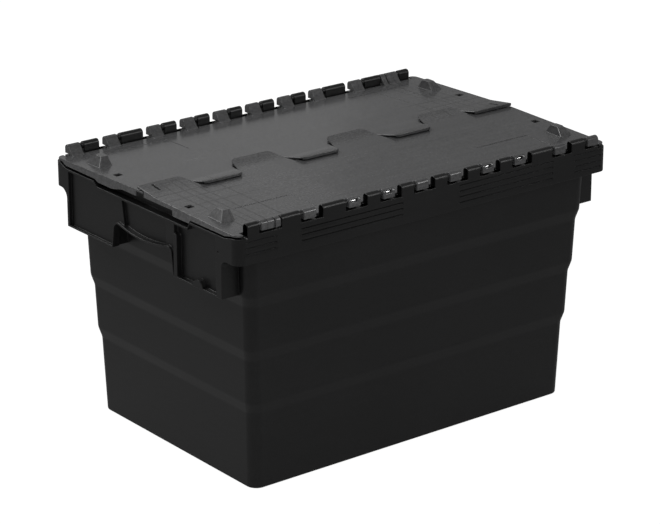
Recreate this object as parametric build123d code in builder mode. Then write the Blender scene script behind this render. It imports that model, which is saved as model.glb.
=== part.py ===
from build123d import *
from math import cos, radians, sin
import os

# Antistatic attached-lid crate, closed. Millimetres, +Z up, origin on the floor under its middle.
# Half a turn about Z repeats every feature: the -Y and -X sides are drawn, then turned.
# At the -X end, near is the -Y half and far is the +Y half. The turn swaps them at the +X end.

# Overall
crate_length = 600.0  # outside of the rim, along X
crate_width = 400.0  # outside of the rim, along Y
crate_height = 365.0  # floor to the tops of the hinge knuckles and stacking nubs

# Tapered wall with its sloped ledges
wall = 3.0
floor_thickness = 3.5
wall_draft = 0.0324  # outward lean for each mm of height
ledge_count = 3
first_ledge = 110.0  # middle of the lowest ledge above the floor
ledge_pitch = 73.0
ledge_rise = 14.0
ledge_step = 3.1
wall_corner = 15.0
foot_bevel = 1.0
side_overhang = 11.1  # rim beyond the top of the wall on the long sides
end_overhang = 23.1  # the same at the ends

# Rim, turned-down band and hinge bed
rim_drop = 17.5  # rim below the knuckle tops
rim_thickness = 3.0
rim_corner = 13.0
band_wall = 2.8
band_depth = 33.5
bed_width = 10.6  # raised strip that carries the knuckles
bed_rise = 3.0
shelf_width = 12.0  # lowered outer strip at the ends, under the lids' end walls
near_shelf_drop = 3.2
far_shelf_drop = 5.6
grip_drop = 11.5  # deeper drop in the middle of each end, to reach the lid edges
near_grip_end = 101.5  # ends of the deeper drop from the middle of the crate
near_grip_ramp = 5.0
far_grip_end = 109.0
far_grip_ramp = 8.5
corner_ramp = 14.0  # run over which the shelf climbs back to the rim
riser = 2.5

# Wedge-shaped flutes in the long sides of the band
flute_pitch = 7.6
flute_depth = 0.8
flute_height = 4.5
flute_left_top = 343.0
flute_left_count = 3
flute_right_top = 346.0
flute_right_count = 4
long_flute = 158.0
long_flute_start = 46.0  # from the middle of the crate
short_flute = 47.0
short_flute_start = 241.0

# End skirt with its recessed panels and hand hold
skirt_depth = 83.6  # below the rim
near_skirt_end = 167.0
far_skirt_end = 172.0
skirt_slab = 10.5
near_notch = 9.0  # radius of the notch between the skirt and the band
far_notch = 13.0
skirt_return = 2.6
near_lip = 11.6
far_lip = 5.0
foot_lip = 2.0
crown_lip = 2.2
wide_panel_depth = 4.5
grip_panel_depth = 8.5
grip_panel_left = 52.0  # Y of the centre panel's two ends at the -X end
grip_panel_right = -45.0
grip_panel_lean = 11.0
deep_panel_depth = 7.0
deep_panel_edge = -69.0  # Y where the narrow deep panel starts
deep_panel_jog = 5.0
deep_panel_jog_height = 58.0  # above the skirt's foot
panel_rib = 2.5
hand_middle = 2.0  # Y of the hand hold's middle
hand_width = 133.0  # hand hold at the skirt's foot
hand_taper = 4.0
hand_height = 34.2
hand_shoulder = 9.0  # radius of the hand hold's upper corners
hand_sag = 7.0  # middle of the grip below its shoulders
hand_lip = 2.6
arch_middle = -117.0  # half-round boss on the deep panel's foot
arch_radius = 11.0
vent_y = -160.0  # small blind hole beside the deep panel
vent_height = 59.0  # above the skirt's foot
vent_radius = 1.2
vent_depth = 6.0

# Hinge row on the long side at -Y, from -X to +X
knuckle_radius = 5.3
row_start_inset = 15.6  # first knuckle from the end of the rim
row_end_inset = 17.2  # last tab from the other end
first_knuckle = 17.4
tab_width = 18.3
tab_pitch = 53.85
tab_end_pitch = 68.8  # from the six evenly spaced tabs to the one at either side
tab_shift = 12.9  # the six evenly spaced tabs off the middle
inner_tabs = 6
knuckle_to_tab = 5.0
tab_to_knuckle = 10.7
double_tab_width = 19.6
double_tab_gap = 3.4
strap_width = 7.8
strap_gap = 1.4
boss_radius = 3.9  # boss on each knuckle round the pin, towards its tab
boss_gap = 1.6
knuckle_wall = 1.6  # round the hollow in a knuckle's -X end
knuckle_web = 2.0  # between the hollow and the pin's seat
pin_radius = 2.0
pin_seat = 11.0  # pin held in its knuckle
pin_cover = 1.8  # closed end of a tab beyond its pin
pin_end_gap = 0.3
pin_seat_clearance = 0.05
pin_running_clearance = 0.08
tab_radius = 5.2
tab_foot_drop = 6.8  # outer foot of a tab below the pin's axis
tab_heel = 3.0  # run of the slanted heel between a tab's foot and the plate
tab_toe_run = 9.0  # plate covered by the ramp up to a tab
tab_shoulder = 40.0  # degrees of the arch where the ramp leaves it
window_width = 9.0
window_foot = 0.6  # window's foot below the pin's axis
window_height = 4.0

# Lid flap hinged at -Y
lid_thickness = 2.6
lid_edge_drop = 13.0  # plate at its hinge edge below the knuckle tops
lid_rise = 4.3  # climb of the plate from the hinge edge to the middle of the crate
lid_hinge_gap = 13.0  # hinge edge of the plate from the rim's outside
lid_end_gap = 1.0
ear_width = 11.0  # corner ears, beyond the hinge row
ear_gap = 4.0  # corner ears from the rim's outside
ear_clearance = 2.0
ear_corner = 9.0
finger_pitch = 154.0
finger_count = 3
finger_slant = 0.3
finger_gap = 1.6
finger_reach = 26.0  # tips beyond the middle of the crate
finger_run = 30.0  # length of a finger's ramp
finger_lift = 4.8  # tip above the plate
finger_lip = 2.4
finger_corner = 8.0
end_finger_short = 15.0  # the end finger stops this much shorter
end_finger_run = 42.0
end_finger_corner = 4.0
underlap = 12.0  # of the plate below the other flap's finger tips
lap_clearance = 0.3
end_wall = 2.4
near_wall_clearance = 2.1  # foot of the end wall above the shelf
far_wall_clearance = 2.9
grip_wall_clearance = 5.7
near_wall_step = 0.5  # the wall's step starts this far outside the shelf's step
near_wall_ramp = 3.5
far_wall_step = -2.0
far_wall_ramp = 7.5
near_wall_end = 64.0  # free end of the near wall, from the middle of the crate
near_wall_corner = 3.0
edge_lip_rise = 1.7  # foot of the shallow lip beyond the near wall, above the rim
edge_lip_end = 3.0
far_climb_start = 68.0  # stretch where the far wall's foot climbs to a shallow lip
far_climb_end = 45.0
far_lip_sink = 0.7  # foot of that lip below the rim
nub_inset_x = 24.9  # middle of the nub's base from the outside of the rim
nub_inset_y = 68.0
nub_base_length = 21.0
nub_base_width = 34.4
nub_top_length = 10.5
nub_top_width = 15.4
nub_lean = 4.15  # top of the nub towards the middle of the crate
nub_bevel = 1.8
nub_wall = 2.4
nub_sink = 1.3  # nub's base below the plate's upper face
field_start = 151.0  # label fields, each side of a line beside the middle of the crate
field_shift = -4.0
field_length = 87.0
field_width = 52.0
field_inset = 34.0  # from the outside of the rim
field_depth = 0.5
rib_thickness = 1.6
rib_depth = 5.0
rib_count = 7  # ribs across the flap
rib_row_count = 4
rib_row_start = 29.0  # first rib along the flap, from the middle of the crate
rib_wall_gap = 8.0  # rib ends from the inside of the crate
rest_inset = 23.6  # middle of the rib that rests on the end rim, from the outside of the rim
rest_clearance = 0.3
seal_hole = 9.8
seal_inset_x = 17.7
seal_y = 77.8
strap_slot_inset = 19.8
strap_slot_width = 3.6
strap_slot_length = 18.0
strap_slot_y = -3.0

# Worked out from the sizes above
half_length = crate_length / 2
half_width = crate_width / 2
rim_top = crate_height - rim_drop
rim_foot = rim_top - rim_thickness
band_foot = rim_top - band_depth
bed_top = rim_top + bed_rise
near_shelf_top = rim_top - near_shelf_drop
far_shelf_top = rim_top - far_shelf_drop
grip_top = rim_top - grip_drop
skirt_foot = rim_top - skirt_depth
pin_height = crate_height - knuckle_radius
pin_y = knuckle_radius - half_width
hinge_edge = lid_hinge_gap - half_width
plate_edge_top = crate_height - lid_edge_drop
plate_slope = lid_rise / -hinge_edge
plate_crest = plate_edge_top + lid_rise
lid_half_length = half_length - lid_end_gap
row_start = row_start_inset - half_length
row_end = half_length - row_end_inset
nub_x = half_length - nub_inset_x
nub_y = half_width - nub_inset_y


# Outward lean of the wall at a height, measured from its foot
def lean(height):
    passed = 0
    for ledge in range(ledge_count):
        ledge_foot = first_ledge + ledge * ledge_pitch - ledge_rise / 2
        passed += min(max((height - ledge_foot) / ledge_rise, 0), 1)
    return wall_draft * height + ledge_step * passed


# Half length of the wall's outside at a height
def wall_half_length(height):
    return half_length - end_overhang - lean(rim_top) + lean(height)


# Closed section of the wall at a height, or of a line inset from its outside
def wall_section(height, inset=0.0, mode=Mode.ADD):
    length = 2 * (wall_half_length(height) - inset)
    width = length - crate_length + crate_width + 2 * (end_overhang - side_overhang)
    return RectangleRounded(length, width, wall_corner - inset, mode=mode)


# Height of a lid plate's upper face, which climbs from the hinge to the middle
def plate_top(y):
    return plate_edge_top + plate_slope * (y - hinge_edge)


wall_levels = []
for ledge in range(ledge_count):
    ledge_middle = first_ledge + ledge * ledge_pitch
    wall_levels += [ledge_middle - ledge_rise / 2, ledge_middle + ledge_rise / 2]
wall_levels += [rim_top]

# Hinge row: tabs of the lid, and knuckles of the crate between them
tab_middles = [tab_shift + (i - (inner_tabs - 1) / 2) * tab_pitch for i in range(inner_tabs)]
window_middles = tab_middles[:2] + tab_middles[-2:]
tab_middles = [tab_middles[0] - tab_end_pitch] + tab_middles + [tab_middles[-1] + tab_end_pitch]
tabs = [(middle - tab_width / 2, middle + tab_width / 2) for middle in tab_middles]
double_tab_start = row_start + first_knuckle + double_tab_gap
double_tab = (double_tab_start, double_tab_start + double_tab_width)
strap = (double_tab[1] + strap_gap, double_tab[1] + strap_gap + strap_width)
end_tab = (row_end - tab_width, row_end)
knuckles = [(row_start, row_start + first_knuckle), (strap[1] + strap_gap, tabs[0][0] - knuckle_to_tab)]
for left, right in zip(tabs, tabs[1:] + [end_tab]):
    knuckles.append((left[1] + tab_to_knuckle, right[0] - knuckle_to_tab))

# Inside of the crate
with BuildPart() as cavity:
    for height in [floor_thickness] + wall_levels:
        with BuildSketch(Plane.XY.offset(height)):
            wall_section(height, wall)
    loft(ruled=True)

# Tapered wall and floor, with a bevelled foot
with BuildPart() as tub:
    with BuildSketch():
        wall_section(0.0, foot_bevel)
    for height in [foot_bevel] + wall_levels:
        with BuildSketch(Plane.XY.offset(height)):
            wall_section(height)
    loft(ruled=True)
    add(cavity.part, mode=Mode.SUBTRACT)

# Rim flange and the band turned down from it, open behind the end skirts
near_notch_end = near_skirt_end + near_notch
far_notch_end = far_skirt_end + far_notch
band_gap = near_notch_end + far_notch_end
band_gap_middle = (far_notch_end - near_notch_end) / 2
with BuildPart() as rim:
    with BuildSketch(Plane.XY.offset(rim_foot)):
        RectangleRounded(crate_length, crate_width, rim_corner)
        wall_section(rim_top, wall, mode=Mode.SUBTRACT)
    extrude(amount=rim_thickness)
    with BuildSketch(Plane.XY.offset(band_foot)):
        RectangleRounded(crate_length, crate_width, rim_corner)
        RectangleRounded(crate_length - 2 * band_wall, crate_width - 2 * band_wall,
                         rim_corner - band_wall, mode=Mode.SUBTRACT)
        with Locations((-half_length / 2, band_gap_middle), (half_length / 2, -band_gap_middle)):
            Rectangle(half_length, band_gap, mode=Mode.SUBTRACT)
    extrude(amount=band_depth)


# Steps of the shelf across an end of the crate, in the YZ plane
shelf_high = half_width - rim_corner
shelf_low = shelf_high - corner_ramp
near_grip_foot = near_grip_end - near_grip_ramp
far_grip_foot = far_grip_end - far_grip_ramp
shelf_line = [(-shelf_high, rim_top), (-shelf_low, near_shelf_top), (-near_grip_end, near_shelf_top),
              (-near_grip_foot, grip_top), (far_grip_foot, grip_top), (far_grip_end, far_shelf_top),
              (shelf_low, far_shelf_top), (shelf_high, rim_top)]
shelf_under = [(y, height - rim_thickness) for y, height in shelf_line]


# Closed outline of the hand hold in the plane of an end, grown outwards by a lip
def hand_hold(grow=0.0):
    foot = skirt_foot - grow
    half_foot = hand_width / 2 + grow
    radius = hand_shoulder + grow
    half_hip = half_foot - hand_taper
    top = skirt_foot + hand_height + grow
    hip = top - radius
    half_top = half_hip - radius
    left_hip = (hand_middle + half_hip, hip)
    right_hip = (hand_middle - half_hip, hip)
    left_top = (hand_middle + half_top, top)
    right_top = (hand_middle - half_top, top)
    Polyline(right_hip, (hand_middle - half_foot, foot), (hand_middle + half_foot, foot), left_hip)
    RadiusArc(left_hip, left_top, -radius)
    ThreePointArc(left_top, (hand_middle, top - hand_sag), right_top)
    RadiusArc(right_top, right_hip, -radius)


# Skirt at the -X end: a panel with stepped recesses and a hand hold
end_plane = Plane.YZ.offset(-half_length)
panel_foot = skirt_foot + foot_lip
near_crown = near_shelf_top - crown_lip
far_crown = far_shelf_top - crown_lip
grip_crown = grip_top - crown_lip
near_panel_end = near_skirt_end - near_lip
far_panel_end = far_skirt_end - far_lip
with BuildPart() as end_skirt:
    near_notch_foot = (-near_skirt_end, band_foot - near_notch)
    near_notch_top = (-near_notch_end, band_foot)
    far_notch_foot = (far_skirt_end, band_foot - far_notch)
    far_notch_top = (far_notch_end, band_foot)
    with BuildSketch(end_plane):
        with BuildLine():
            Polyline(near_notch_foot, (-near_skirt_end, skirt_foot), (far_skirt_end, skirt_foot),
                     far_notch_foot)
            RadiusArc(far_notch_foot, far_notch_top, far_notch)
            Polyline(far_notch_top, (far_notch_end, rim_foot), (-near_notch_end, rim_foot),
                     near_notch_top)
            RadiusArc(near_notch_top, near_notch_foot, near_notch)
        make_face()
    extrude(amount=skirt_slab)
    # Wide panel, round the lip of the hand hold
    with BuildSketch(end_plane):
        with BuildLine():
            Polyline((deep_panel_edge + panel_rib, panel_foot), (far_panel_end, panel_foot),
                     (far_panel_end, far_crown), (far_grip_end, far_crown), (far_grip_foot, grip_crown),
                     (deep_panel_edge + panel_rib, grip_crown), close=True)
        make_face()
        with BuildLine():
            hand_hold(hand_lip)
        make_face(mode=Mode.SUBTRACT)
    extrude(amount=wide_panel_depth, mode=Mode.SUBTRACT)
    # Centre panel above the hand hold
    with BuildSketch(end_plane):
        with BuildLine():
            Polyline((grip_panel_right, panel_foot), (grip_panel_left - grip_panel_lean, panel_foot),
                     (grip_panel_left, grip_crown), (grip_panel_right, grip_crown), close=True)
        make_face()
        with BuildLine():
            hand_hold(hand_lip)
        make_face(mode=Mode.SUBTRACT)
    extrude(amount=grip_panel_depth, mode=Mode.SUBTRACT)
    # Narrow deep panel, with a jog in its side and a half-round boss on its foot
    jog_height = skirt_foot + deep_panel_jog_height
    with BuildSketch(end_plane):
        with BuildLine():
            Polyline((deep_panel_edge - deep_panel_jog, jog_height - deep_panel_jog),
                     (deep_panel_edge - deep_panel_jog, panel_foot), (-near_panel_end, panel_foot),
                     (-near_panel_end, near_crown), (-near_grip_end, near_crown),
                     (-near_grip_foot, grip_crown), (deep_panel_edge, grip_crown),
                     (deep_panel_edge, jog_height))
            CenterArc((deep_panel_edge, jog_height - deep_panel_jog), deep_panel_jog, 90, 90)
        make_face()
        with BuildLine():
            hand_hold(hand_lip)
        make_face(mode=Mode.SUBTRACT)
        with Locations((arch_middle, skirt_foot)):
            Circle(arch_radius, mode=Mode.SUBTRACT)
    extrude(amount=deep_panel_depth, mode=Mode.SUBTRACT)
    with BuildSketch(end_plane):
        with BuildLine():
            hand_hold()
        make_face()
    extrude(amount=skirt_slab, mode=Mode.SUBTRACT)
    with BuildSketch(end_plane):
        with Locations((vent_y, skirt_foot + vent_height)):
            Circle(vent_radius)
    extrude(amount=vent_depth, mode=Mode.SUBTRACT)
    # Stepped shelf on top, and the riser between it and the rim flange
    with BuildSketch(end_plane):
        with BuildLine():
            Polyline(*shelf_line, *reversed(shelf_under), close=True)
        make_face()
    extrude(amount=shelf_width + riser)
    with BuildSketch(Plane.YZ.offset(shelf_width - half_length)):
        with BuildLine():
            Polyline((-shelf_high, rim_top), (shelf_high, rim_top), *reversed(shelf_under), close=True)
        make_face()
    extrude(amount=riser)
    # Returns at the skirt's ends and beside the hand hold, back to the tapered wall
    hand_return = hand_width / 2 + hand_lip
    for y in (-near_skirt_end, hand_middle - hand_return - skirt_return, hand_middle + hand_return,
              far_skirt_end - skirt_return):
        with BuildSketch(Plane.XZ.offset(-y - skirt_return)):
            with BuildLine():
                Polyline((skirt_slab / 2 - half_length, skirt_foot),
                         (wall / 2 - wall_half_length(skirt_foot), skirt_foot),
                         (wall / 2 - wall_half_length(rim_foot), rim_foot),
                         (skirt_slab / 2 - half_length, rim_foot), close=True)
            make_face()
        extrude(amount=skirt_return)

# Pins, each from the knuckle that holds it into its tab: the first one runs on into the next knuckle
pins = [(knuckles[0][1] - pin_seat, knuckles[1][0] + pin_seat)]
for knuckle, tab in zip(knuckles[1:], [*tabs, end_tab]):
    pins.append((knuckle[1] - pin_seat, tab[1] - pin_cover))

# Bed and knuckles of the hinge along the -Y side, each knuckle with a boss towards its tab
with BuildPart() as knuckle_row:
    with BuildSketch(Plane.XY.offset(rim_foot)):
        with Locations(((row_start + row_end) / 2, (bed_width - crate_width) / 2)):
            Rectangle(row_end - row_start, bed_width)
    extrude(amount=rim_thickness + bed_rise)
    for start, end in knuckles:
        with BuildSketch(Plane.YZ.offset(start)):
            with Locations((pin_y, (rim_top + pin_height) / 2)):
                Rectangle(2 * knuckle_radius, pin_height - rim_top)
            with Locations((pin_y, pin_height)):
                Circle(knuckle_radius)
        extrude(amount=end - start)
    for start, end in knuckles[1:]:
        with BuildSketch(Plane.YZ.offset(end)):
            with Locations((pin_y, pin_height)):
                Circle(boss_radius)
        extrude(amount=knuckle_to_tab - boss_gap)
    for start, end in pins:
        with BuildSketch(Plane.YZ.offset(start)):
            with Locations((pin_y, pin_height)):
                Circle(pin_radius + pin_seat_clearance)
        extrude(amount=end - start, mode=Mode.SUBTRACT)
    # Arched hollows in the -X ends, down to the bed
    hollow_radius = knuckle_radius - knuckle_wall
    for start, end in [knuckles[0], *knuckles[2:]]:
        with BuildSketch(Plane.YZ.offset(start)):
            with Locations((pin_y, (bed_top + pin_height) / 2)):
                Rectangle(2 * hollow_radius, pin_height - bed_top)
            with Locations((pin_y, pin_height)):
                Circle(hollow_radius)
        extrude(amount=end - pin_seat - knuckle_web - start, mode=Mode.SUBTRACT)

# Room above the shelf at the -X end
with BuildPart() as shelf_room:
    with BuildSketch(end_plane):
        with BuildLine():
            Polyline(*shelf_line, (shelf_high, crate_height), (-shelf_high, crate_height), close=True)
        make_face()
    extrude(amount=shelf_width)

# Wedge-shaped flutes along the band at the -Y side
flute_spans = [(-short_flute_start - short_flute, short_flute, flute_left_top, flute_left_count),
               (-long_flute_start - long_flute, long_flute, flute_left_top, flute_left_count),
               (long_flute_start, long_flute, flute_right_top, flute_right_count),
               (short_flute_start, short_flute, flute_right_top, flute_right_count)]
with BuildPart() as flutes:
    for start, length, top, count in flute_spans:
        for i in range(count):
            edge = top - i * flute_pitch
            with BuildSketch(Plane.YZ.offset(start)):
                with BuildLine():
                    Polyline((-half_width - flute_depth, edge), (flute_depth - half_width, edge),
                             (-half_width, edge - flute_height),
                             (-half_width - flute_depth, edge - flute_height), close=True)
                make_face()
            extrude(amount=length)

# Crate body, one moulding
with BuildPart() as crate_body:
    add(tub.part)
    add(rim.part)
    for turn in (0, 180):
        add(end_skirt.part, rotation=(0, 0, turn))
        add(knuckle_row.part, rotation=(0, 0, turn))
        add(shelf_room.part, rotation=(0, 0, turn), mode=Mode.SUBTRACT)
        add(flutes.part, rotation=(0, 0, turn), mode=Mode.SUBTRACT)

# Fingers at the free edge of the -Y flap, and the far edge of its plate between them
valley = underlap - finger_reach
crest_top = plate_crest + finger_lift
lip_foot = plate_crest + lap_clearance
half_finger = finger_pitch / 2
finger_roots = [(i - 1) * finger_pitch for i in range(finger_count)]
end_finger_root = finger_roots[0] - half_finger
end_tip = finger_reach - end_finger_short


# Side profile of a finger: level, then a ramp up to a tip with a turned-down lip
def finger_profile(tip, run):
    root = tip - run
    Polyline((hinge_edge, plate_top(hinge_edge)), (root, plate_top(root)), (tip, crest_top),
             (tip, lip_foot), (tip - finger_lip, lip_foot), (tip - finger_lip, crest_top - lid_thickness),
             (root, plate_top(root) - lid_thickness),
             (hinge_edge, plate_top(hinge_edge) - lid_thickness), close=True)


with BuildPart() as fingers:
    with BuildSketch(Plane.XY.offset(rim_foot)) as finger_plan:
        for root in finger_roots:
            left = root + finger_gap / 2
            right = root + half_finger - finger_gap / 2
            with BuildLine():
                Polyline((left + finger_slant * valley, valley), (right - finger_slant * valley, valley),
                         (right - finger_slant * finger_reach, finger_reach),
                         (left + finger_slant * finger_reach, finger_reach), close=True)
            make_face()
        fillet(finger_plan.vertices().group_by(Axis.Y)[-1], finger_corner)
    extrude(amount=crate_height - rim_foot)
    with BuildSketch(Plane.YZ.offset(-half_length)):
        with BuildLine():
            finger_profile(finger_reach, finger_run)
        make_face()
    extrude(amount=crate_length, mode=Mode.INTERSECT)

end_root = end_tip - end_finger_run
with BuildPart() as end_finger:
    right = end_finger_root - finger_gap / 2
    with BuildSketch(Plane.XY.offset(rim_foot)) as end_finger_plan:
        with BuildLine():
            Polyline((-lid_half_length, end_root), (right - finger_slant * end_root, end_root),
                     (right - finger_slant * end_tip, end_tip), (-lid_half_length, end_tip), close=True)
        make_face()
        tip_corners = end_finger_plan.vertices().group_by(Axis.Y)[-1]
        fillet(tip_corners.sort_by(Axis.X)[-1], end_finger_corner)
    extrude(amount=crate_height - rim_foot)
    with BuildSketch(Plane.YZ.offset(-half_length)):
        with BuildLine():
            finger_profile(end_tip, end_finger_run)
        make_face()
    extrude(amount=crate_length, mode=Mode.INTERSECT)


# Strip of the plate between two Y values, from a depth to another below its upper face
def plate_strip(near, far, upper=0.0, lower=lid_thickness):
    Polyline((near, plate_top(near) - upper), (far, plate_top(far) - upper),
             (far, plate_top(far) - lower), (near, plate_top(near) - lower), close=True)


# Hinge tabs: an arch over the pin that runs down a hollow ramp onto the plate
tab_foot = pin_height - tab_foot_drop
tab_front = pin_y - tab_radius
tab_toe = hinge_edge + tab_toe_run
ramp_top = (pin_y + tab_radius * cos(radians(tab_shoulder)),
            pin_height + tab_radius * sin(radians(tab_shoulder)))
ramp_dip = (sin(radians(tab_shoulder)), -cos(radians(tab_shoulder)))
with BuildPart() as hinge_tabs:
    for start, end in [double_tab, strap, *tabs, end_tab]:
        with BuildSketch(Plane.YZ.offset(start)):
            with BuildLine():
                CenterArc((pin_y, pin_height), tab_radius, tab_shoulder, 180 - tab_shoulder)
                Polyline((tab_front, pin_height), (tab_front, tab_foot),
                         (hinge_edge - tab_heel, tab_foot),
                         (hinge_edge, plate_edge_top - lid_thickness),
                         (tab_toe, plate_top(tab_toe) - lid_thickness), (tab_toe, plate_top(tab_toe)))
                Spline(ramp_top, (tab_toe, plate_top(tab_toe)), tangents=(ramp_dip, (1, plate_slope)))
            make_face()
        extrude(amount=end - start)
    for start, end in pins:
        with BuildSketch(Plane.YZ.offset(start)):
            with Locations((pin_y, pin_height)):
                Circle(pin_radius + pin_running_clearance)
        extrude(amount=end - start, mode=Mode.SUBTRACT)
    # Windows that show the pins
    with BuildSketch(Plane.XZ.offset(-pin_y)):
        for middle in window_middles:
            with Locations((middle, pin_height - window_foot + window_height / 2)):
                Rectangle(window_width, window_height)
    extrude(amount=tab_radius, mode=Mode.SUBTRACT)

# Stacking nub at the +X end with bevelled corners, and the room inside it
nub_foot = plate_top(-nub_y) - nub_sink
nub_levels = [(nub_foot, 0.0, nub_base_length, nub_base_width),
              (crate_height, -nub_lean, nub_top_length, nub_top_width)]
with BuildPart() as nub:
    for height, x, length, width in nub_levels:
        with BuildSketch(Plane.XY.offset(height)) as nub_section:
            with Locations((x, 0)):
                Rectangle(length, width)
            chamfer(nub_section.vertices(), nub_bevel)
    loft()
with BuildPart() as nub_room:
    for height, x, length, width in nub_levels:
        with BuildSketch(Plane.XY.offset(height - nub_wall)):
            with Locations((x, 0)):
                Rectangle(length - 2 * nub_wall, width - 2 * nub_wall)
    loft()

# Flap hinged along the -Y side, one moulding
rib_far_x = wall_half_length(rim_top) - wall - rib_wall_gap
rib_far_y = rib_far_x - wall_half_length(rim_top) + half_width - side_overhang
rib_row_pitch = (rib_far_y - rib_row_start) / (rib_row_count - 1)
rest_foot = rim_top + rest_clearance
wall_head = lid_thickness / 2  # top of the end walls, below the upper face of the plate
near_wall_foot = near_shelf_top + near_wall_clearance
far_wall_foot = far_shelf_top + far_wall_clearance
grip_wall_foot = grip_top + grip_wall_clearance
near_wall_start = near_grip_end + near_wall_step
far_wall_start = far_grip_end + far_wall_step
ramp_slope = (crest_top - plate_top(end_root)) / end_finger_run
edge_lip_head = plate_top(end_root) + ramp_slope * (-edge_lip_end - end_root)


# Outline of the near end wall, with a shallow lip beyond its free end
def near_wall():
    Polyline((-near_wall_end - near_wall_corner, grip_wall_foot),
             (near_wall_ramp - near_wall_start, grip_wall_foot), (-near_wall_start, near_wall_foot),
             (-shelf_low, near_wall_foot), (hinge_edge, rim_top + near_wall_clearance),
             (hinge_edge, plate_edge_top - wall_head),
             (end_root, plate_top(end_root) - wall_head), (-edge_lip_end, edge_lip_head - wall_head),
             (-edge_lip_end, rim_top + edge_lip_rise), (-near_wall_end, rim_top + edge_lip_rise),
             (-near_wall_end, grip_wall_foot + near_wall_corner))
    CenterArc((-near_wall_end - near_wall_corner, grip_wall_foot + near_wall_corner),
              near_wall_corner, -90, 90)


# Outline of the far end wall, drawn for the -Y flap's other end
def far_wall():
    Polyline((hinge_edge, rim_top + far_wall_clearance), (-shelf_low, far_wall_foot),
             (-far_wall_start, far_wall_foot),
             (far_wall_ramp - far_wall_start, grip_wall_foot), (-far_climb_start, grip_wall_foot),
             (-far_climb_end, rim_top - far_lip_sink), (valley, rim_top - far_lip_sink),
             (valley, plate_top(valley) - wall_head), (hinge_edge, plate_edge_top - wall_head),
             close=True)


# Outlines of the ribs that rest on the rim, below the near and the far end of the plate
def near_rest():
    Polyline((-rib_far_y, rest_foot), (-edge_lip_end, rest_foot), (-edge_lip_end, edge_lip_head - wall_head),
             (end_root, plate_top(end_root) - wall_head), (-rib_far_y, plate_top(-rib_far_y) - wall_head),
             close=True)


def far_rest():
    shelf_end = underlap - end_tip
    Polyline((-rib_far_y, rest_foot), (shelf_end, rest_foot), (shelf_end, plate_top(valley) - wall_head),
             (valley, plate_top(valley) - wall_head), (-rib_far_y, plate_top(-rib_far_y) - wall_head),
             close=True)


with BuildPart() as lid_front:
    with BuildSketch(Plane.YZ.offset(-lid_half_length)):
        with BuildLine():
            plate_strip(hinge_edge, valley)
        make_face()
    extrude(amount=2 * lid_half_length)
    # Shelf under the other flap's end finger
    with BuildSketch(Plane.YZ.offset(-end_finger_root - finger_gap)):
        with Locations((valley, plate_top(valley))):
            Rectangle(underlap - end_tip - valley, lid_thickness, align=(Align.MIN, Align.MAX))
    extrude(amount=lid_half_length + end_finger_root + finger_gap)
    add(fingers.part)
    add(end_finger.part)
    add(hinge_tabs.part)
    # End walls and corner ears
    for x, outline in ((-lid_half_length, near_wall), (lid_half_length - end_wall, far_wall)):
        with BuildSketch(Plane.YZ.offset(x)):
            with BuildLine():
                outline()
            make_face()
        extrude(amount=end_wall)
    with BuildSketch(Plane.XY.offset(rim_top + ear_clearance)) as ears:
        for side in (Align.MIN, Align.MAX):
            outer = -lid_half_length if side == Align.MIN else lid_half_length
            with Locations((outer, ear_gap - half_width)):
                Rectangle(ear_width, lid_hinge_gap, align=(side, Align.MIN))
        fillet(ears.vertices().group_by(Axis.Y)[0].sort_by(Axis.X)[0], ear_corner)
        fillet(ears.vertices().group_by(Axis.Y)[0].sort_by(Axis.X)[-1], ear_corner)
    extrude(amount=plate_edge_top - rim_top - ear_clearance)
    # Ribs under the plate, and a rib at each end that rests on the rim
    for i in range(rib_row_count):
        far_side = -rib_row_start - i * rib_row_pitch
        with BuildSketch(Plane.YZ.offset(-rib_far_x)):
            with BuildLine():
                plate_strip(far_side - rib_thickness, far_side, lid_thickness / 2,
                            lid_thickness + rib_depth)
            make_face()
        extrude(amount=2 * rib_far_x)
    for i in range(rib_count):
        x = (i / (rib_count - 1) - 0.5) * (2 * rib_far_x - rib_thickness)
        with BuildSketch(Plane.YZ.offset(x - rib_thickness / 2)):
            with BuildLine():
                plate_strip(-rib_far_y, -rib_row_start, lid_thickness / 2, lid_thickness + rib_depth)
            make_face()
        extrude(amount=rib_thickness)
    for x, outline in ((rest_inset - half_length, near_rest), (half_length - rest_inset, far_rest)):
        with BuildSketch(Plane.YZ.offset(x - rib_thickness / 2)):
            with BuildLine():
                outline()
            make_face()
        extrude(amount=rib_thickness)
    # Nubs
    for x, turn in ((-nub_x, 180), (nub_x, 0)):
        with Locations(Location((x, -nub_y, 0), (0, 0, turn))):
            add(nub.part)
            add(nub_room.part, mode=Mode.SUBTRACT)
    # Label fields, seal holes and strap slot
    for x in (field_shift - field_start - field_length, field_shift + field_start):
        with BuildSketch(Plane.YZ.offset(x)):
            with BuildLine():
                plate_strip(field_inset - half_width, field_inset + field_width - half_width,
                            -field_depth, field_depth)
            make_face()
        extrude(amount=field_length, mode=Mode.SUBTRACT)
    with BuildSketch(Plane.XY.offset(rim_top)):
        with Locations((seal_inset_x - half_length, -seal_y), (half_length - seal_inset_x, -seal_y)):
            Rectangle(seal_hole, seal_hole)
        with Locations((strap_slot_inset - half_length, strap_slot_y),
                       (half_length - strap_slot_inset, -strap_slot_y)):
            Rectangle(strap_slot_width, strap_slot_length)
    extrude(amount=crate_height - rim_top, mode=Mode.SUBTRACT)

# The other flap is the same piece, turned half round
with BuildPart() as lid_back:
    add(lid_front.part, rotation=(0, 0, 180))

crate_body.part.label = "crate_body"
lid_front.part.label = "lid_front"
lid_back.part.label = "lid_back"

os.makedirs("parts", exist_ok=True)
export_step(crate_body.part, "parts/crate_body.step")
export_step(lid_front.part, "parts/lid_front.step")
export_step(lid_back.part, "parts/lid_back.step")

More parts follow.
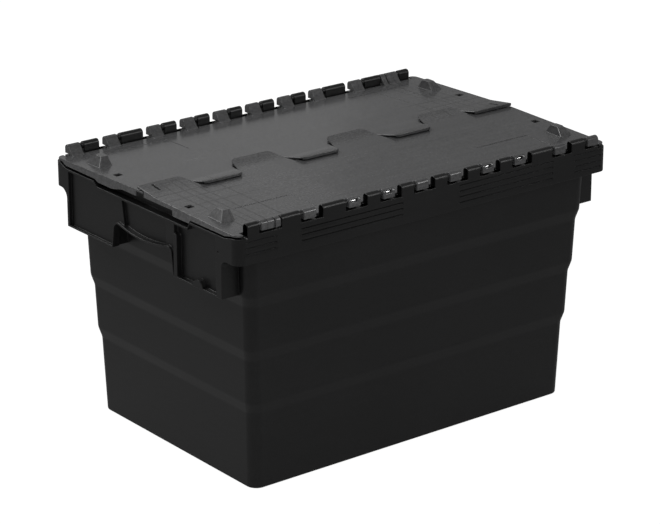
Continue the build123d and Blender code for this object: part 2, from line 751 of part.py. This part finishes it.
# Steel pins of the two hinge rows, numbered from each row's first knuckle
for number, (start, end) in enumerate(pins, 1):
    with BuildPart() as front_pin:
        with BuildSketch(Plane.YZ.offset(start + pin_end_gap)):
            with Locations((pin_y, pin_height)):
                Circle(pin_radius)
        extrude(amount=end - start - 2 * pin_end_gap)
    with BuildPart() as back_pin:
        add(front_pin.part, rotation=(0, 0, 180))
    for side, pin in (("front", front_pin), ("back", back_pin)):
        pin_name = f"hinge_pin_{side}_{number}"
        pin.part.label = pin_name
        export_step(pin.part, f"parts/{pin_name}.step")
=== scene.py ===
import math
import bmesh
import bpy
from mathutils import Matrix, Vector


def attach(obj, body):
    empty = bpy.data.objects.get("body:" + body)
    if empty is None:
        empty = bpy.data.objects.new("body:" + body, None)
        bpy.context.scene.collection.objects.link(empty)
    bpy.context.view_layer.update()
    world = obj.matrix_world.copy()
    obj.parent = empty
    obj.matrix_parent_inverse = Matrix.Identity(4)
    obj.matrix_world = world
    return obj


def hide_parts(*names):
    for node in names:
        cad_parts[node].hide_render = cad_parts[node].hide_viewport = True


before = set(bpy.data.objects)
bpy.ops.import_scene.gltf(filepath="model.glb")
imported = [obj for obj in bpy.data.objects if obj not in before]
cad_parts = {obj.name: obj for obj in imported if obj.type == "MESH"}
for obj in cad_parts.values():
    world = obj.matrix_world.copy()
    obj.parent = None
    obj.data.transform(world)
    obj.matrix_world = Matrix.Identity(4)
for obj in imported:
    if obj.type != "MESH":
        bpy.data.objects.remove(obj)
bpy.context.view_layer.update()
scene = bpy.context.scene
scene.view_settings.view_transform = "Standard"

# Camera, fitted to the standard 600 x 400 footprint in the photograph
cameraSetup = {"place": (-2.11223, -2.69938, 1.45704), "yaw": -37.9968, "pitch": -20.20, "roll": 0.045,
               "lens": 151.30, "sensor": 36.0, "clipEnd": 50.0}


def addCamera(setup):
    data = bpy.data.cameras.new("photoCamera")
    data.lens = setup["lens"]
    data.sensor_width = setup["sensor"]
    data.clip_end = setup["clipEnd"]
    camera = bpy.data.objects.new("photoCamera", data)
    camera.location = setup["place"]
    camera.rotation_euler = (math.radians(90 + setup["pitch"]), math.radians(setup["roll"]),
                             math.radians(setup["yaw"]))
    scene.collection.objects.link(camera)
    scene.camera = camera


addCamera(cameraSetup)
print("camera ready")


# Shader helpers, where a value is a constant or another node's output
def feed(tree, socket, value):
    if isinstance(value, bpy.types.NodeSocket):
        tree.links.new(value, socket)
    else:
        socket.default_value = value


def addNode(tree, kind, **inputs):
    node = tree.nodes.new(kind)
    for key, value in inputs.items():
        feed(tree, node.inputs[key], value)
    return node


def calculate(tree, operation, *values):
    node = tree.nodes.new("ShaderNodeMath")
    node.operation = operation
    for socket, value in zip(node.inputs, values):
        feed(tree, socket, value)
    return node.outputs[0]


def multiply(tree, first, second):
    return calculate(tree, "MULTIPLY", first, second)


def remap(tree, value, low, high, least, most):
    node = addNode(tree, "ShaderNodeMapRange", Value=value)
    for key, setting in {"From Min": low, "From Max": high, "To Min": least, "To Max": most}.items():
        feed(tree, node.inputs[key], setting)
    return node.outputs["Result"]


# From least to most as a share goes from 0 to 1
def blend(tree, share, least, most):
    return remap(tree, share, 0.0, 1.0, least, most)


def mixShaders(tree, share, first, second):
    mixed = tree.nodes.new("ShaderNodeMixShader")
    for socket, value in zip(mixed.inputs, (share, first, second)):
        feed(tree, socket, value)
    return mixed.outputs[0]


def objectPlace(tree):
    return tree.nodes.new("ShaderNodeTexCoord").outputs["Object"]


# One level for what the camera sees, one for reflections and one for light
def rayLevel(tree, seen, mirrored, lighting):
    path = tree.nodes.new("ShaderNodeLightPath").outputs
    reflected = calculate(tree, "MAXIMUM", path["Is Glossy Ray"], path["Is Transmission Ray"])
    return blend(tree, path["Is Camera Ray"], blend(tree, reflected, lighting, mirrored), seen)


def newMaterial(name):
    material = bpy.data.materials.new(name)
    material.use_nodes = True
    return material


def setSurface(material, shader):
    tree = material.node_tree
    tree.links.new(shader, tree.nodes["Material Output"].inputs["Surface"])


# Pale floor: white to the camera; in reflections it carries a painted pool of light, brightest near the crate
# and dimmer away from it.
# It lies a hair below the crate and is clear from below, so that the foot shows.
floorSetup = {"size": 14.0, "gap": 0.0002, "colour": 0.9, "roughness": 0.9,
              "seenShare": 0.86, "seenLevel": 1.1, "lightShare": 0.5, "lightLevel": 0.9,
              "mirroredShare": 0.85, "nearRadius": 0.3, "farRadius": 1.1, "nearPoolGlow": 0.165,
              "farPoolGlow": 0.065}


def addFloor(setup):
    bpy.ops.object.select_all(action="DESELECT")
    bpy.ops.mesh.primitive_plane_add(size=setup["size"], location=(0, 0, -setup["gap"]))
    floor = bpy.context.object
    floor.name = "studioFloor"
    material = newMaterial("paleFloor")
    tree = material.node_tree
    sheet = tree.nodes["Principled BSDF"]
    sheet.inputs["Base Color"].default_value = (setup["colour"],) * 3 + (1,)
    sheet.inputs["Roughness"].default_value = setup["roughness"]
    # Painted pool of light: the floor's glow in reflections fades from near the crate to far from it
    distance = tree.nodes.new("ShaderNodeVectorMath")
    distance.operation = "LENGTH"
    tree.links.new(objectPlace(tree), distance.inputs[0])
    mirrored = remap(tree, distance.outputs["Value"], setup["nearRadius"], setup["farRadius"],
                     setup["nearPoolGlow"], setup["farPoolGlow"])
    level = rayLevel(tree, setup["seenLevel"], mirrored, setup["lightLevel"])
    share = rayLevel(tree, setup["seenShare"], setup["mirroredShare"], setup["lightShare"])
    glow = addNode(tree, "ShaderNodeEmission", Strength=level)
    fromAbove = mixShaders(tree, share, sheet.outputs[0], glow.outputs[0])
    clear = tree.nodes.new("ShaderNodeBsdfTransparent")
    side = tree.nodes.new("ShaderNodeNewGeometry")
    setSurface(material, mixShaders(tree, side.outputs["Backfacing"], fromAbove, clear.outputs[0]))
    floor.data.materials.append(material)


# The dim room round the white sheet, which only reflections see
horizonSetup = {"radius": 6.4, "height": 1.2, "sides": 48, "level": 0.12}


def addHorizon(setup):
    bpy.ops.object.select_all(action="DESELECT")
    bpy.ops.mesh.primitive_cylinder_add(vertices=setup["sides"], radius=setup["radius"],
                                        depth=setup["height"], end_fill_type="NOTHING",
                                        location=(0, 0, setup["height"] / 2))
    ring = bpy.context.object
    ring.name = "studioHorizon"
    material = newMaterial("dimHorizon")
    glow = addNode(material.node_tree, "ShaderNodeEmission", Strength=setup["level"])
    setSurface(material, glow.outputs[0])
    ring.data.materials.append(material)
    ring.visible_camera = False
    ring.visible_diffuse = False
    ring.visible_shadow = False


# White world, dimmer in reflections and as light
worldSetup = {"seen": 1.0, "mirrored": 0.22, "light": 0.6}


def addWorld(setup):
    world = bpy.data.worlds.new("studioWorld")
    scene.world = world
    world.use_nodes = True
    tree = world.node_tree
    back = tree.nodes["Background"]
    back.inputs["Color"].default_value = (1, 1, 1, 1)
    level = rayLevel(tree, setup["seen"], setup["mirrored"], setup["light"])
    tree.links.new(level, back.inputs["Strength"])


# Soft square lamps, turned to the middle of the crate
lampAim = (0, 0, 0.2)
lamps = {"keyLamp": {"place": (-1.2, 1.7, 2.6), "size": 2.0, "power": 52.0},
         "frontLamp": {"place": (-1.25, -1.15, 1.75), "size": 0.5, "power": 7.0},
         "sideLamp": {"place": (1.35, -1.75, 1.55), "size": 0.6, "power": 9.0},
         "backLamp": {"place": (2.3, 4.8, 1.85), "size": 2.4, "power": 3.2}}


def addLamp(name, setup, aim):
    data = bpy.data.lights.new(name, "AREA")
    data.shape = "SQUARE"
    data.size = setup["size"]
    data.energy = setup["power"]
    lamp = bpy.data.objects.new(name, data)
    lamp.location = setup["place"]
    lamp.rotation_euler = (Vector(aim) - Vector(setup["place"])).to_track_quat("-Z", "Y").to_euler()
    scene.collection.objects.link(lamp)


addFloor(floorSetup)
addHorizon(horizonSetup)
addWorld(worldSetup)
for lampName, lampSetup in lamps.items():
    addLamp(lampName, lampSetup, lampAim)
print("studio ready")

# Moulded plastic: grain, slow changes of tone and gloss, flow streaks and fine scratches; on the flaps also
# sink lines and painted light and shade.
# A share is how far a pattern lightens or darkens, and a stretch is its count per metre on each axis.
crateFinish = {"dark": 0.0029, "light": 0.0041, "blue": 1.04, "specular": 0.5,
               "cloudScale": 6.0, "glossLow": 0.34, "glossHigh": 0.40,
               "grainScale": 1400.0, "grainStrength": 0.25, "grainDepth": 0.0001,
               "speckleScale": 500.0, "speckleShare": 0.4, "speckleHeight": 1.5,
               "streakStretch": (20.0, 20.0, 260.0), "streakShare": 0.1, "streakGloss": 0.02,
               "scratchStretch": (7.0, 9.0, 420.0), "scratchStart": 0.68, "scratchShare": 0.7,
               "scratchGloss": 0.05}
lidFinish = {"dark": 0.049, "light": 0.057, "blue": 1.02, "specular": 0.5,
             "cloudScale": 5.0, "glossLow": 0.17, "glossHigh": 0.23,
             "grainScale": 1400.0, "grainStrength": 0.12, "grainDepth": 0.00006,
             "speckleScale": 340.0, "speckleShare": 0.24, "speckleHeight": 1.2,
             "streakStretch": (6.0, 260.0, 260.0), "streakShare": 0.12, "streakGloss": 0.03,
             "scratchStretch": (5.0, 500.0, 50.0), "scratchStart": 0.69, "scratchShare": 0.3,
             "scratchGloss": 0.05}
# Marks and painted light and shade of a flap, measured from the middle of the crate towards the flap's sealed
# end and its hinge
flapMarksAndPaintedShade = {"alongX": (0.270, 0.255, 0.245, 0.232, 0.205), "acrossY": (0.029, 0.051, 0.078),
             "halfWidth": 0.0015, "fadeStart": 0.15, "fadeEnd": 0.20,
             "shade": 0.6, "gloss": 0.08, "depth": 14.0,
             "paleStart": 0.099, "pale": 1.08, "darkStart": 0.095, "dim": 0.95, "border": 0.004}
noiseCore = (0.35, 0.65)  # where most of a noise lies
noiseSpan = (0.3, 0.7)
scratchFade = 0.04  # a scratch's soft side, in the noise's own values
cloudDetail = 3.0
grainDetail = 2.0
speckleDetail = 1.0
streakDetail = 2.0
scratchDetail = 4.0


def noise(tree, place, stretch, detail):
    spread = addNode(tree, "ShaderNodeMapping", Vector=place, Scale=stretch)
    return addNode(tree, "ShaderNodeTexNoise", Vector=spread.outputs[0], Scale=1.0,
                   Detail=detail).outputs["Fac"]


def evenNoise(tree, place, scale, detail):
    return noise(tree, place, (scale,) * 3, detail)


# Distances along and across a flap, the same for both flaps after half a turn
def flapAxes(tree, place):
    axis = addNode(tree, "ShaderNodeSeparateXYZ", Vector=place).outputs
    return (multiply(tree, axis["X"], calculate(tree, "SIGN", axis["Y"])),
            calculate(tree, "ABSOLUTE", axis["Y"]))


# Faint sink lines over the ribs, which fade away from the sealed end: real shallow dents in the bump and
# gloss, with painted shade darkening their colour
def sinkLines(tree, along, across, marks):
    total = 0.0
    for value, rows in ((along, marks["alongX"]), (across, marks["acrossY"])):
        for row in rows:
            distance = calculate(tree, "ABSOLUTE", calculate(tree, "SUBTRACT", value, row))
            total = calculate(tree, "MAXIMUM", total, remap(tree, distance, 0.0, marks["halfWidth"], 1.0, 0.0))
    return multiply(tree, total, remap(tree, along, marks["fadeStart"], marks["fadeEnd"], 0.0, 1.0))


# Painted light and shade: a flap is a touch paler towards its sealed end and darker towards the other, past
# soft borders
def flapPaintedShading(tree, along, marks):
    pale = remap(tree, along, marks["paleStart"], marks["paleStart"] + marks["border"], 1.0, marks["pale"])
    dim = remap(tree, along, -marks["darkStart"], marks["border"] - marks["darkStart"], marks["dim"], 1.0)
    return multiply(tree, pale, dim)


def mouldedPlastic(name, finish, marks=None):
    material = newMaterial(name)
    tree = material.node_tree
    plastic = tree.nodes["Principled BSDF"].inputs
    plastic["Specular IOR Level"].default_value = finish["specular"]
    place = objectPlace(tree)
    cloud = evenNoise(tree, place, finish["cloudScale"], cloudDetail)
    grain = evenNoise(tree, place, finish["grainScale"], grainDetail)
    speckle = evenNoise(tree, place, finish["speckleScale"], speckleDetail)
    streak = noise(tree, place, finish["streakStretch"], streakDetail)
    scratch = remap(tree, noise(tree, place, finish["scratchStretch"], scratchDetail),
                    finish["scratchStart"], finish["scratchStart"] + scratchFade, 0.0, 1.0)
    level = remap(tree, cloud, *noiseCore, finish["dark"], finish["light"])
    for value, share in ((speckle, finish["speckleShare"]), (streak, finish["streakShare"])):
        level = multiply(tree, level, remap(tree, value, *noiseSpan, 1 - share, 1 + share))
    level = multiply(tree, level, blend(tree, scratch, 1.0, 1 + finish["scratchShare"]))
    rough = remap(tree, cloud, *noiseSpan, finish["glossLow"], finish["glossHigh"])
    rough = calculate(tree, "ADD", rough, remap(tree, streak, *noiseSpan, -finish["streakGloss"],
                                                finish["streakGloss"]))
    rough = calculate(tree, "ADD", rough, blend(tree, scratch, 0.0, finish["scratchGloss"]))
    height = calculate(tree, "ADD", grain, multiply(tree, speckle, finish["speckleHeight"]))
    if marks:
        along, across = flapAxes(tree, place)
        lines = sinkLines(tree, along, across, marks)
        # Painted shade: the sink lines' colour is darkened
        level = multiply(tree, level, blend(tree, lines, 1.0, marks["shade"]))
        # Painted light and shade: paler and darker bands across the flap
        level = multiply(tree, level, flapPaintedShading(tree, along, marks))
        rough = calculate(tree, "ADD", rough, blend(tree, lines, 0.0, marks["gloss"]))
        height = calculate(tree, "SUBTRACT", height, multiply(tree, lines, marks["depth"]))
    colour = addNode(tree, "ShaderNodeCombineColor", Red=level, Green=level,
                     Blue=multiply(tree, level, finish["blue"]))
    bump = addNode(tree, "ShaderNodeBump", Strength=finish["grainStrength"], Distance=finish["grainDepth"],
                   Height=height)
    tree.links.new(colour.outputs[0], plastic["Base Color"])
    tree.links.new(rough, plastic["Roughness"])
    tree.links.new(bump.outputs["Normal"], plastic["Normal"])
    return material


# Bright wire of the hinge pins
steelFinish = {"Base Color": (0.75, 0.75, 0.75, 1), "Metallic": 1.0, "Roughness": 0.22}


def pinSteel(finish):
    material = newMaterial("pinSteel")
    metal = material.node_tree.nodes["Principled BSDF"].inputs
    for key, value in finish.items():
        metal[key].default_value = value
    return material


cratePlastic = mouldedPlastic("cratePlastic", crateFinish)
lidPlastic = mouldedPlastic("lidPlastic", lidFinish, flapMarksAndPaintedShade)
steel = pinSteel(steelFinish)
print("materials ready")

# A moulding: the construction's shape with its edges rounded as a mould leaves them.
# Rounding is a share of the full width, most for the ledges' soft creases, least for shallow relief.
softEdges = {"merge": 0.00002, "flat": 0.2, "width": 0.002, "segments": 2, "smooth": 40.0, "weight": 100,
             "hard": 28.0, "crease": 4.0, "plain": 0.3, "shallow": 0.08,
             "hingeRow": 0.4, "rowStart": 0.187, "rowFoot": 0.351,
             "tip": 0.55, "tipReach": 0.035, "tipFoot": 0.3565,
             "ledge": 1.0, "ledgeLow": 8.0, "ledgeHigh": 22.0, "ledgeTop": 0.275}
# Shallow relief and small holes, as least and most distance from the middle on each axis
fluteZone = ((0.0, 0.2885), (0.1975, 0.2015), (0.316, 0.3472))
fieldZone = ((0.140, 0.250), (0.110, 0.170), (0.3505, 0.3560))
slotZone = ((0.2765, 0.2830), (0.0, 0.0125), (0.340, 0.365))
sealZone = ((0.2755, 0.2870), (0.0720, 0.0840), (0.340, 0.365))
shallowZones = (fluteZone, fieldZone, slotZone, sealZone)


def inZone(point, zone):
    return all(low < abs(value) < high for value, (low, high) in zip(point, zone))


def edgeShare(edge, edges):
    angle = math.degrees(edge.calc_face_angle(0.0))
    start, end = (vert.co for vert in edge.verts)
    middle = (start + end) / 2
    if angle > edges["hard"]:
        if any(inZone(middle, zone) for zone in shallowZones):
            return edges["shallow"]
        if abs(middle.y) > edges["rowStart"] and middle.z > edges["rowFoot"]:
            return edges["hingeRow"]
        if abs(middle.y) < edges["tipReach"] and middle.z > edges["tipFoot"]:
            return edges["tip"]
        return edges["plain"]
    level = abs(start.z - end.z) < edges["merge"]
    if level and middle.z < edges["ledgeTop"] and edges["ledgeLow"] < angle < edges["ledgeHigh"]:
        return edges["ledge"]
    return 0.0


# Open pockets in the hinge bed, each from the +X end of a tab on into the next knuckle's hollow
pocketRow = {"tabShift": 0.0129, "tabPitch": 0.05385, "endPitch": 0.0688, "tabWidth": 0.0183,
             "innerTabs": 6, "start": 0.0012, "end": 0.0167, "axis": 0.1947, "halfWidth": 0.0037,
             "foot": 0.3458, "head": 0.3530}
# The sharp line at the top of each flute: start and end along the crate, first height and count
grooveRow = {"spans": ((-0.288, -0.241, 0.343, 3), (-0.204, -0.046, 0.343, 3), (0.046, 0.204, 0.346, 4),
                       (0.241, 0.288, 0.346, 4)),
             "pitch": 0.0076, "height": 0.0008, "outside": 0.2003, "inside": 0.1983}


# Distances from the middle of the crate to the middles of a row's tabs
def tabMiddles(row):
    inner = [row["tabShift"] + (i - (row["innerTabs"] - 1) / 2) * row["tabPitch"]
             for i in range(row["innerTabs"])]
    return [inner[0] - row["endPitch"], *inner, inner[-1] + row["endPitch"]]


def boxBetween(low, high):
    bpy.ops.mesh.primitive_cube_add(size=1.0, location=[(a + b) / 2 for a, b in zip(low, high)])
    bpy.context.object.scale = [abs(b - a) for a, b in zip(low, high)]
    return bpy.context.object


# One cutter for both long sides: the second side is the first turned half round
def addCutter(pockets, grooves):
    bpy.ops.object.select_all(action="DESELECT")
    boxes = []
    for side in (-1, 1):
        for middle in tabMiddles(pockets):
            tabEnd = middle + pockets["tabWidth"] / 2
            boxes.append(boxBetween((-side * (tabEnd + pockets["start"]),
                                     side * (pockets["axis"] - pockets["halfWidth"]), pockets["foot"]),
                                    (-side * (tabEnd + pockets["end"]),
                                     side * (pockets["axis"] + pockets["halfWidth"]), pockets["head"])))
        for start, end, top, count in grooves["spans"]:
            for i in range(count):
                head = top - i * grooves["pitch"]
                boxes.append(boxBetween((-side * start, side * grooves["inside"], head - grooves["height"]),
                                        (-side * end, side * grooves["outside"], head)))
    for box in boxes:
        box.select_set(True)
    bpy.context.view_layer.objects.active = boxes[0]
    bpy.ops.object.join()
    bpy.ops.object.transform_apply(location=True, rotation=True, scale=True)
    return bpy.context.object


def useAlone(piece):
    bpy.ops.object.select_all(action="DESELECT")
    piece.select_set(True)
    bpy.context.view_layer.objects.active = piece


# Operators on the whole mesh, one after the other, each with its settings
def editAll(*steps):
    bpy.ops.object.mode_set(mode="EDIT")
    bpy.ops.mesh.select_all(action="SELECT")
    for operator, settings in steps:
        operator(**settings)
    bpy.ops.object.mode_set(mode="OBJECT")


def applyModifier(piece, name, kind, **settings):
    modifier = piece.modifiers.new(name, kind)
    for key, value in settings.items():
        setattr(modifier, key, value)
    bpy.ops.object.modifier_apply(modifier=modifier.name)


# Gives each edge its share of the rounding, and keeps the flutes' creases sharp
def weighEdges(piece, edges):
    shape = bmesh.new()
    shape.from_mesh(piece.data)
    share = shape.edges.layers.float.new("bevel_weight_edge")
    for edge in shape.edges:
        edge[share] = edgeShare(edge, edges)
        middle = (edge.verts[0].co + edge.verts[1].co) / 2
        if math.degrees(edge.calc_face_angle(0.0)) > edges["crease"] and inZone(middle, fluteZone):
            edge.smooth = False
    shape.to_mesh(piece.data)
    shape.free()


def moulding(name, node, body, material, edges, cutter=None):
    piece = bpy.data.objects.new(name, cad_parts[node].data.copy())
    scene.collection.objects.link(piece)
    useAlone(piece)
    editAll((bpy.ops.mesh.remove_doubles, {"threshold": edges["merge"]}),
            (bpy.ops.mesh.dissolve_limited, {"angle_limit": math.radians(edges["flat"])}))
    if cutter:
        applyModifier(piece, "pockets", "BOOLEAN", object=cutter, operation="DIFFERENCE", solver="EXACT")
        bpy.data.objects.remove(cutter)
    weighEdges(piece, edges)
    applyModifier(piece, "softEdges", "BEVEL", width=edges["width"], segments=edges["segments"],
                  limit_method="WEIGHT", use_clamp_overlap=False)
    editAll((bpy.ops.mesh.normals_make_consistent, {"inside": False}))
    bpy.ops.object.shade_smooth_by_angle(angle=math.radians(edges["smooth"]), keep_sharp_edges=True)
    applyModifier(piece, "evenNormals", "WEIGHTED_NORMAL", weight=edges["weight"], keep_sharp=True)
    piece.data.materials.clear()
    piece.data.materials.append(material)
    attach(piece, body)
    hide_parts(node)
    print(name, len(piece.data.polygons), "faces")


moulding("crateMoulding", "crate_body", "crate", cratePlastic, softEdges,
         addCutter(pocketRow, grooveRow))
moulding("frontFlap", "lid_front", "front_flap", lidPlastic, softEdges)
moulding("backFlap", "lid_back", "back_flap", lidPlastic, softEdges)

# The construction's own pins, in their steel
for nodeName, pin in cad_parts.items():
    if nodeName.startswith("hinge_"):
        pin.data.materials.clear()
        pin.data.materials.append(steel)
print("pins ready")
